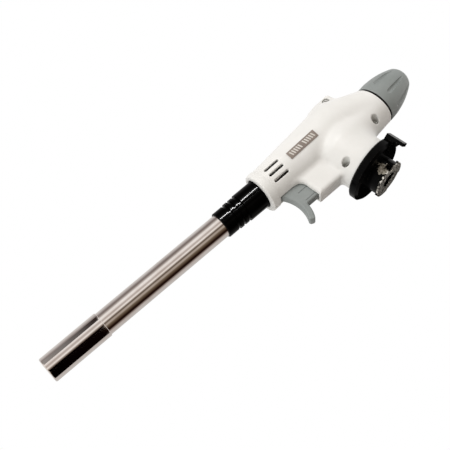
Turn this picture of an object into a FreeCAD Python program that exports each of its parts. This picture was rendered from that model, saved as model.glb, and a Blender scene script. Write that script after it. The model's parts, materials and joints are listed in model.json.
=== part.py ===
import FreeCAD, Part
import math
import os

# Gas torch head with a long flame tube, for a bayonet gas cartridge. Millimetres.
# Origin: centre of the socket's mouth, on the cartridge axis. +Z runs up that axis, away from the
# cartridge, +X points the way the flame goes, and +Y is the torch's left side.
# The barrel leaves the housing at an angle, so barrel pieces are placed by "reach", the distance in
# front of the housing's mouth along the barrel, and "rise", the height square to the barrel.

V = FreeCAD.Vector

# ---- where the three axes lie
BARREL_TILT = 8.0            # barrel above the horizontal, degrees
HOUSING_TILT = 5.2           # axis of the housing's tapered barrel above the horizontal, degrees
MOUTH_X = 63.6
MOUTH_Z = 64.0
KNOB_AXIS_Z = 43.9
RIM_X = -41.8                # rear face of the housing, where the knob starts

# ---- barrel
TUBE_R = 8.7
TUBE_WALL = 0.5
TUBE_TIP = 182.5
TUBE_TAIL = 12.0             # length of the tube inside the housing
SLEEVE_WALL = 0.7
SLEEVE_ROUNDING = 0.5
SLEEVE_TIP_ROUNDING = 1.0
SLEEVE_LENGTH = 46.5
SLEEVE_OVERHANG = 3.3        # sleeve past the end of the tube
MIXING_R = 4.0
MIXING_WALL = 0.6
MIXING_TAIL = 49.5           # rear end of the mixing tube, behind the mouth
AIR_HOLE_R = 1.6
BURNER_FRONT = 146.0
BURNER_LENGTH = 14.0
BURNER_FACE = 4.0            # thickness of the burner's drilled front
BURNER_SOCKET = 6.0          # how far the mixing tube goes into it
PORT_MARGIN = 1.6            # centres of the outer ports, inside the tube's bore
PORT_R = 0.85
GAUZE_GAP = 3.0
GAUZE_THICKNESS = 1.0
GAUZE_HOLE_R = 0.7
ELECTRODE_R = 0.5
ELECTRODE_BEND = 1.5
ELECTRODE_TIP = 6.5          # in front of the burner
ELECTRODE_TAIL = 26.0        # behind the burner's front
INSULATOR_R = 1.2
INSULATOR_TAIL = 24.0
LEAD_R = 1.1
LEAD_START = -46.0
LEAD_BEND = 4.0

# ---- collar
COLLAR_LENGTH = 35.5         # in front of the mouth
COLLAR_WALL = 1.25           # at the front end
COLLAR_RIDGE_STEP = 0.4      # outer radius above the front end's
COLLAR_REAR_STEP = 0.85
COLLAR_FLANGE_STEP = 2.05
COLLAR_FLANGE_FRONT = -3.2
COLLAR_FLANGE_BACK = -6.2
COLLAR_CHAMFER = 0.5
COLLAR_HUB = 1.2             # its rear end inside the housing, smaller by this
GROOVE_DEPTH = 1.5
GROOVE_WIDTH = 2.2
GROOVE_SLOPE = 0.3
GROOVES = 3
GROOVE_PITCH = 4.6
FIRST_GROOVE = 26.2

# ---- housing
WALL = 2.2
FRONT_WALL = 8.8             # solid ring at the mouth that holds the collar
MOUTH_RING = 3.8             # from the collar's outside to the housing's outside, at the mouth
BEAD_HEIGHT = 0.4
BEAD_LENGTH = 6.6
COLLAR_GAP = 0.6             # round the collar where it leaves the housing
FIT = 0.1                    # where the housing clamps the collar
BODY_R = 18.8                # at the far end of the tapered part
BODY_LENGTH = 80.0
REAR_R = 15.9                # at the knob
NECK_R = 20.0
NECK_TOP = 48.5
NECK_SHOULDER = 9.0
BASE_GAP = 0.4
NECK_GAP = 0.3               # round the knob's neck and the base's pilot
SLOT_LENGTH = 12.8
SLOT_WIDTH = 1.9
SLOT_PITCH = 5.2
SLOT_REACH = -16.4           # middle of the air slots
SLOT_RISE = -1.1
LUG_HALF = 3.4
LUG_FOOT = 61.0
LUG_TOP = 76.5
BOX_HALF = 7.8
BOX_BOTTOM = -32.6
BOX_REAR = -56.0
BOX_ROUNDING = 2.2
LABEL_LENGTH = 25.6
LABEL_HEIGHT = 6.0
LABEL_THICKNESS = 0.5
LABEL_REACH = -42.3
LABEL_RISE = 0.5
LABEL_TILT = 1.2             # up towards the rear, against the barrel, degrees

# ---- trigger
TRIGGER_HALF = 3.9
TRIGGER_FRONT = -8.3
TRIGGER_TOP = -13.9
TRIGGER_BOTTOM = -30.0
TRIGGER_TRAVEL = 5.0
TRIGGER_CLEARANCE = 0.35

# ---- base and socket
BASE_R = 24.0
BASE_THICKNESS = 7.1
FACE_Z = 9.9                 # disc face above the socket's mouth
BOSS_R = 12.9
SOCKET_R = 6.1
SOCKET_DEPTH = 8.0
SEAT_R = 5.9
PILOT_R = 13.0
PILOT_HEIGHT = 3.4
SOCKET_RELIEF = 0.4
RELIEF_LENGTH = 1.0
SEAT_POCKET = 4.0            # depth of the seat's own hole, from the socket's floor
PASSAGE_R = 3.0
BAYONET_LUGS = 3
BAYONET_LUG_SPAN = 52.0
BAYONET_LUG_HEIGHT = 3.0
NOTCH_ANGLE = 96.0
NOTCH_SPAN = 26.0
NOTCH_DEPTH = 4.6
LUG_REACH = 1.1              # bayonet lugs beyond the boss
TAB_ANGLE = 142.0            # about the cartridge axis, from +X towards +Y, degrees
TAB_WIDTH = 7.4
TAB_OUT = 3.2
TAB_DROP = 6.8
TAB_THICKNESS = 2.6
TAB_ROOT = 5.0               # how far the arm runs into the disc
TAB_WEB_HALF = 1.4

# ---- valve
SPINDLE_R = 2.9
RUNNING_CLEARANCE = 0.05
DRIVE_RELIEF = 0.02          # corners of the spindle's drive, inside its journal
GLAND_WALL = 1.1
GLAND_SPIGOT = 4.4
GLAND_HEAD = 3.5
GLAND_ACROSS = 11.0
ARM_WALL = 3.0
COLUMN_R = 6.3
BLOCK_R = 7.5
BLOCK_LOW = 36.0
BLOCK_HEIGHT = 23.0
ARM_END_X = -24.0
SEAT_X = -9.0
NEEDLE_GAP = 1.5
JOURNAL_LENGTH = 15.8
NEEDLE_LENGTH = 4.6
DRIVE_END_X = -52.0
JET_BACK = -64.0
JET_R = 2.2
JET_ARM_R = 5.6
ARM_FRONT = -45.5
GAS_HOLE_R = 0.8
COLUMN_HOLE_R = 0.9
FLANGE_R = 15.5
FLANGE_THICKNESS = 2.5

# ---- knob
KNOB_GAP = 1.1
KNOB_HOLLOW_R = 13.5
KNOB_HOLLOW_DEPTH = 4.0
KNOB_CORE_R = 10.0
KNOB_LENGTH = 33.6
KNOB_BASE_R = 15.9
KNOB_WAIST = (19.0, 13.6)     # a point on its curved side: behind the rim, radius
KNOB_STRAIGHT = 6.0
KNOB_NOSE_R = 9.4
KNOB_NOSE_LENGTH = 3.8
KNOB_NECK_R = 8.9
KNOB_FLANGE_R = 11.0
KNOB_FLANGE_THICKNESS = 2.0
KNOB_FLANGE_GAP = 0.4
DRIVE_HOLE_X = -55.0
FLUTES = 8

# ---- piezo unit
PIEZO_R = 4.5
PIEZO_RISE = -21.0
PIEZO_FRONT = -40.5
PIEZO_FLOOR = 2.6
PIEZO_RIBS = (-43.0, -52.0)
RIB_THICKNESS = 2.0
PLUNGER_R = 2.4
PLUNGER_FRONT = -33.0
PLUNGER_LENGTH = 12.5
PLUNGER_CLEARANCE = 0.1
SPRING_R = 1.8
SPRING_WIRE_R = 0.3
SPRING_TURNS = 4
SPRING_SPARE = 0.5           # left between the coils when the trigger is fully back

# ---- screws
HEAD_R = 2.45
HEAD_HEIGHT = 1.8
SHANK_R = 1.45
COUNTERBORE_GAP = 0.35
RECESS_LENGTH = 3.2
RECESS_WIDTH = 0.7
RECESS_DEPTH = 0.9
POINT_LENGTH = 1.0
SCREW_LENGTH = 11.0
LUG_SCREW_LENGTH = 3.3
SHANK_GAP = 0.15
BASE_SCREW_R = 1.25
BASE_SCREW_HEAD_R = 2.5
BASE_SCREW_HEAD = 1.6
BASE_SCREW_LENGTH = 8.0
BASE_SCREW_RING = 9.5

SIDE = V(0, 1, 0)
UP = V(0, 0, 1)
FORWARD = V(1, 0, 0)
TILT = math.radians(BARREL_TILT)
BARREL = V(math.cos(TILT), 0, math.sin(TILT))
RISE = V(-math.sin(TILT), 0, math.cos(TILT))
HOUSING = V(math.cos(math.radians(HOUSING_TILT)), 0, math.sin(math.radians(HOUSING_TILT)))
MOUTH = V(MOUTH_X, 0, MOUTH_Z)
HOUSING_START = MOUTH - RISE * 0.6
DISC_BACK = FACE_Z + BASE_THICKNESS
PILOT_TOP = DISC_BACK + PILOT_HEIGHT
FLANGE_TOP = PILOT_TOP + FLANGE_THICKNESS
SLEEVE_R = TUBE_R + SLEEVE_WALL
BORE_R = TUBE_R - TUBE_WALL
COLLAR_FRONT_R = TUBE_R + COLLAR_WALL
COLLAR_RIDGE_R = COLLAR_FRONT_R + COLLAR_RIDGE_STEP
COLLAR_REAR_R = COLLAR_FRONT_R + COLLAR_REAR_STEP
COLLAR_FLANGE_R = COLLAR_FRONT_R + COLLAR_FLANGE_STEP
FRONT_R = COLLAR_REAR_R + MOUTH_RING
BURNER_BACK = BURNER_FRONT - BURNER_LENGTH
PORT_RING_R = BORE_R - PORT_MARGIN
ELECTRODE_RISE = -PORT_RING_R
SPINDLE_BORE_R = SPINDLE_R + RUNNING_CLEARANCE
GLAND_R = SPINDLE_R + GLAND_WALL
ARM_R = GLAND_R + ARM_WALL
NEEDLE_X = SEAT_X + NEEDLE_GAP
HEX_ACROSS = 2 * (SPINDLE_R - DRIVE_RELIEF) * math.cos(math.radians(30))
KNOB_START = V(RIM_X - KNOB_GAP, 0, KNOB_AXIS_Z)
COUNTERBORE_R = HEAD_R + COUNTERBORE_GAP
PLUNGER_REAR = PLUNGER_FRONT - PLUNGER_LENGTH
BORE_END = PLUNGER_REAR - TRIGGER_TRAVEL - 2 * SPRING_WIRE_R * SPRING_TURNS - SPRING_SPARE
PIEZO_REAR = BORE_END - PIEZO_FLOOR

# name: x, z, face of the screw head from the parting plane, outer radius of the post
SCREW_SITES = {
    "neck": (13.3, DISC_BACK + 10.1, 4.5, 3.6),
    "rear": (-28.2, KNOB_AXIS_Z - 10.6, 4.0, 3.6),
    "lug": (-23.4, LUG_TOP - 4.0, 0.9, 3.6),
}


def at(reach, rise, side=0.0):
    """A point in the barrel's own frame."""
    return MOUTH + BARREL * reach + RISE * rise + SIDE * side


def rod(radius, start, end):
    axis = end - start
    return Part.makeCylinder(radius, axis.Length, start, axis)


def barrel_rod(radius, first, last, rise=0.0):
    return rod(radius, at(first, rise), at(last, rise))


def knob_rod(radius, first_x, last_x):
    return rod(radius, V(first_x, 0, KNOB_AXIS_Z), V(last_x, 0, KNOB_AXIS_Z))


def neck_rod(radius, first_z, last_z):
    return rod(radius, V(0, 0, first_z), V(0, 0, last_z))


def turned(profile, start, axis):
    """Solid of revolution: profile is a closed loop of (along, radius) points."""
    points = [start + axis * along + SIDE * radius for along, radius in profile]
    face = Part.Face(Part.makePolygon(points + points[:1]))
    return face.revolve(start, axis, 360)


def plate(outline, place, half):
    """A flat outline of (a, b) points or 3-point arcs, spread half to each side of y = 0."""
    edges = []
    here = outline[0]
    for step in outline[1:] + outline[:1]:
        if len(step) == 2:
            edges.append(Part.makeLine(place(*here), place(*step)))
            here = step
        else:
            via, end = step[:2], step[2:]
            edges.append(Part.Arc(place(*here), place(*via), place(*end)).toShape())
            here = end
    face = Part.Face(Part.Wire(edges))
    face.translate(SIDE * -half)
    return face.extrude(SIDE * (2 * half))


def round_corners(body, radius, corners):
    """Rounds the edges along Y that stand at the given (reach, rise) corners."""
    chosen = [e for e in body.Edges for corner in corners if (e.CenterOfMass - at(*corner)).Length < 0.2]
    return body.makeFillet(radius, chosen)


def in_row(x, z):
    return V(x, 0, z)


def fuse(*shapes):
    return shapes[0].multiFuse(list(shapes[1:])).removeSplitter()


def hexagon(across, start, end):
    """A hexagonal bar, two flats square to Y."""
    axis = (end - start).normalize()
    corner_r = across / 2 / math.cos(math.radians(30))
    third = axis.cross(SIDE)
    points = []
    for corner in range(6):
        angle = math.radians(60 * corner)
        arm = third * math.cos(angle) + SIDE * math.sin(angle)
        points.append(start + arm * corner_r)
    return Part.Face(Part.makePolygon(points + points[:1])).extrude(end - start)


# ---- housing -------------------------------------------------------------------------------

def body_radius(distance):
    """Outer radius of the tapered part, this far behind the mouth."""
    return FRONT_R + (BODY_R - FRONT_R) * distance / BODY_LENGTH


def housing_forms(inset, front_wall):
    """The simple forms that make up the housing, each made smaller all round by inset."""
    front_end = HOUSING_START - HOUSING * front_wall
    back_end = HOUSING_START - HOUSING * BODY_LENGTH
    taper = Part.makeCone(body_radius(front_wall) - inset, BODY_R - inset, BODY_LENGTH - front_wall,
                          front_end, -HOUSING)
    circles = [
        Part.Wire(Part.makeCircle(BODY_R - inset, back_end, HOUSING)),
        Part.Wire(Part.makeCircle(REAR_R - inset, V(RIM_X + inset, 0, KNOB_AXIS_Z), FORWARD)),
    ]
    roof = Part.makeLoft(circles, True, True)
    rear = knob_rod(REAR_R - inset, RIM_X + inset, -4.0)
    top = NECK_TOP - inset
    neck = neck_rod(NECK_R - inset, DISC_BACK + BASE_GAP + inset, top)
    rim = [e for e in neck.Edges if e.Closed and abs(e.CenterOfMass.z - top) < 0.01]
    neck = neck.makeFillet(NECK_SHOULDER, rim)
    return [taper, roof, rear, neck, trigger_box(inset)]


def trigger_box(inset):
    """The box behind the trigger. Its front edge follows the trigger's rounded rear corner."""
    outline = [
        (-19.5 - inset, -4.0), (-20.6 - inset, -13.4),
        (-24.9 - inset, -16.6, -26.6 - inset, -22.5),
        (-28.1 - inset, BOX_BOTTOM + inset),
        (BOX_REAR, BOX_BOTTOM + inset), (BOX_REAR, -4.0),
    ]
    box = plate(outline, at, BOX_HALF - inset)
    low = [e for e in box.Edges if e.Length > 20 and e.BoundBox.YLength < 0.01
           and (e.CenterOfMass - at(-42.0, BOX_BOTTOM + inset, e.CenterOfMass.y)).Length < 3.0]
    return box.makeFillet(BOX_ROUNDING - 0.4 * inset, low)


def air_slot(side, number):
    """A round-ended slot through one side wall, one of three above each other."""
    rise = SLOT_RISE + (1 - number) * SLOT_PITCH
    half = (SLOT_LENGTH - SLOT_WIDTH) / 2
    ends = [at(SLOT_REACH + way * half, rise, side * 6.0) for way in (-1, 1)]
    outward = SIDE * (side * 14.0)
    rounds = [Part.makeCylinder(SLOT_WIDTH / 2, 14.0, end, outward) for end in ends]
    across = RISE * (SLOT_WIDTH / 2)
    corners = [ends[0] - across, ends[1] - across, ends[1] + across, ends[0] + across]
    middle = Part.Face(Part.makePolygon(corners + corners[:1])).extrude(outward)
    return fuse(middle, *rounds)


def screw(x, z, face, length):
    head = Part.makeCylinder(HEAD_R, HEAD_HEIGHT, V(x, face, z), SIDE)
    head = head.makeFillet(0.6, [e for e in head.Edges if abs(e.CenterOfMass.y - face - HEAD_HEIGHT) < 0.01])
    floor = face + HEAD_HEIGHT - RECESS_DEPTH
    recess = [Part.makeBox(wide, RECESS_DEPTH, high, V(x - wide / 2, floor, z - high / 2))
              for wide, high in ((RECESS_LENGTH, RECESS_WIDTH), (RECESS_WIDTH, RECESS_LENGTH))]
    shank = Part.makeCylinder(SHANK_R, length - POINT_LENGTH, V(x, face, z), -SIDE)
    point = Part.makeCone(SHANK_R, 0.5, POINT_LENGTH, V(x, face - length + POINT_LENGTH, z), -SIDE)
    return fuse(head, shank, point).cut(fuse(*recess))


def screw_length(name):
    return LUG_SCREW_LENGTH if name == "lug" else SCREW_LENGTH


def housing_screws():
    return Part.makeCompound([screw(x, z, face, screw_length(name))
                              for name, (x, z, face, post) in SCREW_SITES.items()])


def top_lug():
    outline = [
        (-4.0, LUG_TOP - 3.6), (-8.0, LUG_TOP - 0.6), (-13.0, LUG_TOP),
        (-25.6, LUG_TOP), (-28.6, LUG_TOP - 0.8, -29.4, LUG_TOP - 3.8),
        (-31.4, LUG_FOOT), (-10.0, LUG_FOOT),
    ]
    return plate(outline, in_row, LUG_HALF)


def mouth_bead():
    inner, crest = COLLAR_REAR_R, FRONT_R + BEAD_HEIGHT
    return turned([(0.0, inner), (0.0, FRONT_R), (-1.2, crest), (2.0 - BEAD_LENGTH, crest),
                   (-BEAD_LENGTH, FRONT_R), (-BEAD_LENGTH, inner)], HOUSING_START, HOUSING)


def housing_solid():
    """Both halves in one: skin, ribs and posts, before it is split along y = 0."""
    outer = fuse(*housing_forms(0.0, 0.0), top_lug(), mouth_bead())
    whole = outer
    for form in housing_forms(WALL, FRONT_WALL):
        whole = whole.cut(form)
    for support in housing_supports():
        whole = whole.fuse(support.common(outer))
    for opening in housing_openings():
        whole = whole.cut(opening)
    return whole


def housing_supports():
    """Screw posts, ribs that clamp the piezo unit, and a yoke round the valve's rear arm."""
    supports = []
    for x, z, face, post in SCREW_SITES.values():
        supports.append(Part.makeCylinder(post, 2 * NECK_R, V(x, -NECK_R, z), SIDE))
    low, high = PIEZO_RISE - 14.0, PIEZO_RISE + 3.0
    for reach in PIEZO_RIBS:
        front = reach + RIB_THICKNESS
        rib = plate([(reach, low), (front, low), (front, high), (reach, high)], at, BOX_HALF)
        supports.append(rib.cut(barrel_rod(PIEZO_R, PIEZO_REAR - 2, PIEZO_FRONT + 2, PIEZO_RISE)))
    yoke = Part.makeBox(RIB_THICKNESS, 2 * REAR_R, 12.0, V(-20.0, -REAR_R, KNOB_AXIS_Z - 16.0))
    supports.append(yoke.cut(knob_rod(ARM_R, -30, 0)))
    return supports


def housing_openings():
    cuts = [
        barrel_rod(COLLAR_REAR_R + COLLAR_GAP, COLLAR_FLANGE_FRONT + 2 * FIT, 6.0),
        barrel_rod(COLLAR_FLANGE_R + 2 * FIT, COLLAR_FLANGE_BACK - 2 * FIT, COLLAR_FLANGE_FRONT + 3 * FIT),
        barrel_rod(COLLAR_REAR_R - COLLAR_HUB + 3 * FIT, -TUBE_TAIL - 2.0, COLLAR_FLANGE_BACK - FIT),
        knob_rod(KNOB_NECK_R + NECK_GAP, RIM_X - 2.0, RIM_X + WALL + 2.0),
        neck_rod(PILOT_R + NECK_GAP, DISC_BACK - 1.0, DISC_BACK + WALL + 2.0),
        trigger_opening(),
    ]
    for x, z, face, post in SCREW_SITES.values():
        cuts.append(Part.makeCylinder(COUNTERBORE_R, 2 * NECK_R, V(x, face, z), SIDE))
        cuts.append(Part.makeCylinder(SHANK_R + SHANK_GAP, face + 1.0, V(x, 0, z), SIDE))
    for name, (x, z, face, post) in SCREW_SITES.items():
        depth = screw_length(name) - face + 0.5
        cuts.append(Part.makeCylinder(SHANK_R, depth, V(x, -depth, z), SIDE))
    for side in (-1, 1):
        cuts += [air_slot(side, number) for number in range(3)]
    return cuts


def trigger_opening():
    half = TRIGGER_HALF + TRIGGER_CLEARANCE
    floor = TRIGGER_BOTTOM - TRIGGER_CLEARANCE
    front, top = TRIGGER_FRONT + TRIGGER_CLEARANCE, TRIGGER_TOP + 2.0
    rear = PLUNGER_FRONT - TRIGGER_TRAVEL - 1.5
    return plate([(front, top), (rear, top), (rear, floor), (front, floor)], at, half)


def half_of(whole, side):
    keep = Part.makeBox(300, 100, 300, V(-150, 0 if side > 0 else -100, -50))
    return whole.common(keep)


def label_plate():
    """A thin plate bent round the left side of the tapered part."""
    skin = [Part.makeCone(FRONT_R + thickness, BODY_R + thickness, BODY_LENGTH, HOUSING_START, -HOUSING)
            for thickness in (0.0, LABEL_THICKNESS)]
    tilt = math.radians(LABEL_TILT)
    along = BARREL * math.cos(tilt) - RISE * math.sin(tilt)
    across = RISE * math.cos(tilt) + BARREL * math.sin(tilt)
    middle = at(LABEL_REACH, LABEL_RISE, 6.0)
    corners = [middle + along * (a * LABEL_LENGTH / 2) + across * (b * LABEL_HEIGHT / 2)
               for a, b in ((-1, -1), (1, -1), (1, 1), (-1, 1))]
    block = Part.Face(Part.makePolygon(corners + corners[:1])).extrude(SIDE * 20.0)
    return skin[1].common(block).cut(skin[0])


# ---- barrel --------------------------------------------------------------------------------

def flame_tube():
    return barrel_rod(TUBE_R, -TUBE_TAIL, TUBE_TIP).cut(
        barrel_rod(BORE_R, -TUBE_TAIL - 1, TUBE_TIP + 1))


def nozzle_sleeve():
    tip = TUBE_TIP + SLEEVE_OVERHANG
    body = barrel_rod(SLEEVE_R, tip - SLEEVE_LENGTH, tip)
    for radius, end in ((SLEEVE_ROUNDING, tip - SLEEVE_LENGTH), (SLEEVE_TIP_ROUNDING, tip)):
        rims = [e for e in body.Edges if e.Closed and (e.CenterOfMass - at(end, 0)).Length < 0.01]
        body = body.makeFillet(radius, rims)
    return body.cut(barrel_rod(TUBE_R, tip - SLEEVE_LENGTH - 1, TUBE_TIP)).cut(
        barrel_rod(BORE_R, TUBE_TIP - 1, tip + 1))


def barrel_collar():
    tail, hub_r = 1.0 - TUBE_TAIL, COLLAR_REAR_R - COLLAR_HUB
    profile = [(tail, TUBE_R), (tail, hub_r), (COLLAR_FLANGE_BACK, hub_r),
               (COLLAR_FLANGE_BACK, COLLAR_FLANGE_R), (COLLAR_FLANGE_FRONT, COLLAR_FLANGE_R),
               (COLLAR_FLANGE_FRONT, COLLAR_REAR_R)]
    edge = FIRST_GROOVE - (GROOVES - 1) * GROOVE_PITCH - GROOVE_WIDTH / 2
    radius = COLLAR_REAR_R
    for number in range(GROOVES):
        profile += [(edge, radius), (edge + GROOVE_SLOPE, radius - GROOVE_DEPTH),
                    (edge + GROOVE_WIDTH - GROOVE_SLOPE, radius - GROOVE_DEPTH)]
        radius = COLLAR_RIDGE_R if number < GROOVES - 1 else COLLAR_FRONT_R
        profile.append((edge + GROOVE_WIDTH, radius))
        edge += GROOVE_PITCH
    profile += [(COLLAR_LENGTH - COLLAR_CHAMFER, COLLAR_FRONT_R),
                (COLLAR_LENGTH, COLLAR_FRONT_R - COLLAR_CHAMFER),
                (COLLAR_LENGTH, TUBE_R)]
    return turned(profile, MOUTH, BARREL)


def ring_of(count, radius, bolt_radius, first, last, phase=0.0):
    holes = []
    for number in range(count):
        angle = math.radians(phase + 360.0 * number / count)
        offset = SIDE * (bolt_radius * math.cos(angle)) + RISE * (bolt_radius * math.sin(angle))
        holes.append(rod(radius, at(first, 0) + offset, at(last, 0) + offset))
    return holes


def burner_head():
    socket_end, face_back = BURNER_BACK + BURNER_SOCKET, BURNER_FRONT - BURNER_FACE
    past_back, past_front = BURNER_BACK - 1, BURNER_FRONT + 1
    body = barrel_rod(BORE_R, BURNER_BACK, BURNER_FRONT)
    cuts = [
        barrel_rod(MIXING_R, past_back, socket_end),
        barrel_rod(MIXING_R + 0.8, socket_end, face_back),
        barrel_rod(1.5, face_back - 1, past_front),
        barrel_rod(INSULATOR_R, past_back, past_front, ELECTRODE_RISE),
    ]
    cuts += ring_of(8, 0.65, 3.4, face_back - 1, past_front)
    # the lowest of the outer ports is left out: the insulator goes through there
    cuts += ring_of(12, PORT_R, PORT_RING_R, past_back, past_front, -90.0)[1:]
    return body.cut(fuse(*cuts))


def flame_gauze():
    back = BURNER_FRONT + GAUZE_GAP
    front = back + GAUZE_THICKNESS
    disc = barrel_rod(BORE_R, back, front)
    holes = [barrel_rod(GAUZE_HOLE_R, back - 1, front + 1),
             barrel_rod(INSULATOR_R + 0.5, back - 1, front + 1, ELECTRODE_RISE)]
    holes += ring_of(6, GAUZE_HOLE_R, 2.5, back - 1, front + 1)
    holes += ring_of(12, GAUZE_HOLE_R, 4.6, back - 1, front + 1, 15.0)
    return disc.cut(fuse(*holes))


def mixing_tube():
    body = barrel_rod(MIXING_R, -MIXING_TAIL, BURNER_BACK + BURNER_SOCKET)
    body = body.cut(barrel_rod(MIXING_R - MIXING_WALL, -MIXING_TAIL - 1, BURNER_FRONT))
    middle = at(-MIXING_TAIL + 9.0, 0)
    holes = [Part.makeCylinder(AIR_HOLE_R, 4 * MIXING_R, middle - way * (2 * MIXING_R), way)
             for way in (SIDE, RISE)]
    return body.cut(fuse(*holes))


def electrode_insulator():
    back, front = BURNER_FRONT - INSULATOR_TAIL, BURNER_FRONT + 1.5
    return barrel_rod(INSULATOR_R, back, front, ELECTRODE_RISE).cut(
        barrel_rod(ELECTRODE_R, back - 1, front + 1, ELECTRODE_RISE))


def electrode_rod():
    front, bend = BURNER_FRONT + ELECTRODE_TIP, ELECTRODE_BEND
    stem = barrel_rod(ELECTRODE_R, BURNER_FRONT - ELECTRODE_TAIL, front - bend, ELECTRODE_RISE)
    circle = Part.Wire(Part.makeCircle(ELECTRODE_R, at(front - bend, ELECTRODE_RISE), BARREL))
    elbow = Part.Face(circle).revolve(at(front - bend, ELECTRODE_RISE + bend), -SIDE, 90)
    tip = rod(ELECTRODE_R, at(front, ELECTRODE_RISE + bend), at(front, ELECTRODE_RISE + bend + 2.0))
    return fuse(stem, elbow, tip)


def ignition_lead():
    """Straight up out of the piezo unit, one bend, then along the bottom of the flame tube."""
    start = at(LEAD_START, PIEZO_RISE + PIEZO_R)
    knee = at(LEAD_START, ELECTRODE_RISE - LEAD_BEND)
    out = rod(LEAD_R, start, knee)
    circle = Part.Wire(Part.makeCircle(LEAD_R, knee, RISE))
    elbow = Part.Face(circle).revolve(knee + BARREL * LEAD_BEND, SIDE, 90)
    run = barrel_rod(LEAD_R, LEAD_START + LEAD_BEND, BURNER_FRONT - ELECTRODE_TAIL, ELECTRODE_RISE)
    return fuse(out, elbow, run)


# ---- base and socket -----------------------------------------------------------------------

def polar(radius, angle, z):
    turn = math.radians(angle)
    return V(radius * math.cos(turn), radius * math.sin(turn), z)


def sector(inner, outer, middle, span, low, high):
    """A block between two radii, span degrees wide about middle."""
    whole = neck_rod(outer, low, high).cut(neck_rod(inner, low - 1, high + 1))
    reach = outer * 2
    corners = [V(0, 0, low - 1), polar(reach, middle - span / 2, low - 1),
               polar(reach, middle + span / 2, low - 1)]
    wedge = Part.Face(Part.makePolygon(corners + corners[:1])).extrude(UP * (high - low + 2))
    return whole.common(wedge)


def base_screw_holes(bottom):
    return [Part.makeCylinder(BASE_SCREW_R, BASE_SCREW_LENGTH + 1, V(0, side * BASE_SCREW_RING, bottom), UP)
            for side in (-1, 1)]


def bayonet_base():
    rim = turned([(0, 0), (0, BASE_R - 1.8), (1.6, BASE_R), (BASE_THICKNESS - 1.0, BASE_R),
                  (BASE_THICKNESS, BASE_R - 1.0), (BASE_THICKNESS, 0)], V(0, 0, FACE_Z), UP)
    pilot = neck_rod(PILOT_R, DISC_BACK, PILOT_TOP)
    boss = neck_rod(BOSS_R, 0, FACE_Z)
    boss = boss.makeFillet(0.6, [e for e in boss.Edges if e.Closed and abs(e.CenterOfMass.z) < 0.01])
    pieces = [rim, pilot, boss]
    for number in range(BAYONET_LUGS):
        middle = 360.0 / BAYONET_LUGS * (number + 0.5)
        pieces.append(sector(BOSS_R - 1.0, BOSS_R + LUG_REACH, middle, BAYONET_LUG_SPAN,
                             0, BAYONET_LUG_HEIGHT))
    pieces.append(locating_tab())
    body = fuse(*pieces)
    cuts = [
        neck_rod(SOCKET_R, -1, SOCKET_DEPTH),
        neck_rod(SOCKET_R + SOCKET_RELIEF, SOCKET_DEPTH, SOCKET_DEPTH + RELIEF_LENGTH),
        neck_rod(SEAT_R, SOCKET_DEPTH, SOCKET_DEPTH + SEAT_POCKET),
        neck_rod(PASSAGE_R, SOCKET_DEPTH + SEAT_POCKET - 1, PILOT_TOP + 1),
        sector(SOCKET_R + 3.2, BOSS_R + 4, NOTCH_ANGLE, NOTCH_SPAN, -1, NOTCH_DEPTH),
    ]
    cuts += base_screw_holes(FLANGE_TOP - BASE_SCREW_LENGTH - 0.5)
    return body.cut(fuse(*cuts))


def locating_tab():
    """An arm on the disc's rim that reaches down into the notch in the cartridge's collar."""
    turn = FreeCAD.Rotation(UP, TAB_ANGLE)
    half = TAB_WIDTH / 2
    out = BASE_R + TAB_OUT
    arm = Part.makeBox(TAB_OUT + TAB_ROOT, TAB_WIDTH, BASE_THICKNESS, V(BASE_R - TAB_ROOT, -half, FACE_Z))
    hook = Part.makeBox(TAB_THICKNESS, TAB_WIDTH, BASE_THICKNESS + TAB_DROP,
                        V(out - TAB_THICKNESS, -half, FACE_Z - TAB_DROP))
    web = plate([(BASE_R - 9.0, FACE_Z + 1.0), (out - 1.0, FACE_Z + 1.0),
                 (out - 1.0, FACE_Z - TAB_DROP + 2.5)], in_row, TAB_WEB_HALF)
    tab = fuse(arm, hook, web)
    tab.Placement = FreeCAD.Placement(V(0, 0, 0), turn)
    return tab


def stem_seat():
    """Brass seat that takes the valve stem of the cartridge, with the gas passage through it."""
    stem_r, lip_r, lip, shelf, back = 1.9, 4.2, 0.4, 2.0, 7.0
    return turned([(lip, stem_r), (lip, lip_r), (shelf, lip_r), (shelf, SEAT_R), (SEAT_POCKET, SEAT_R),
                   (SEAT_POCKET, PASSAGE_R), (back, PASSAGE_R), (back, COLUMN_HOLE_R),
                   (SEAT_POCKET - 1, COLUMN_HOLE_R), (SEAT_POCKET - 1, stem_r)],
                  V(0, 0, SOCKET_DEPTH), UP)


def stem_gasket():
    return Part.makeTorus(4.9, 0.65, V(0, 0, SOCKET_DEPTH + 1.3), UP)


def base_screws():
    screws = []
    for side in (-1, 1):
        y = side * BASE_SCREW_RING
        head = Part.makeCylinder(BASE_SCREW_HEAD_R, BASE_SCREW_HEAD, V(0, y, FLANGE_TOP), UP)
        shank = Part.makeCylinder(BASE_SCREW_R, BASE_SCREW_LENGTH, V(0, y, FLANGE_TOP), -UP)
        slot = Part.makeBox(2 * BASE_SCREW_HEAD_R + 0.2, RECESS_WIDTH, RECESS_WIDTH,
                            V(-BASE_SCREW_HEAD_R - 0.1, y - RECESS_WIDTH / 2, FLANGE_TOP + RECESS_DEPTH))
        screws.append(fuse(head, shank).cut(slot))
    return Part.makeCompound(screws)


# ---- valve ---------------------------------------------------------------------------------

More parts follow.
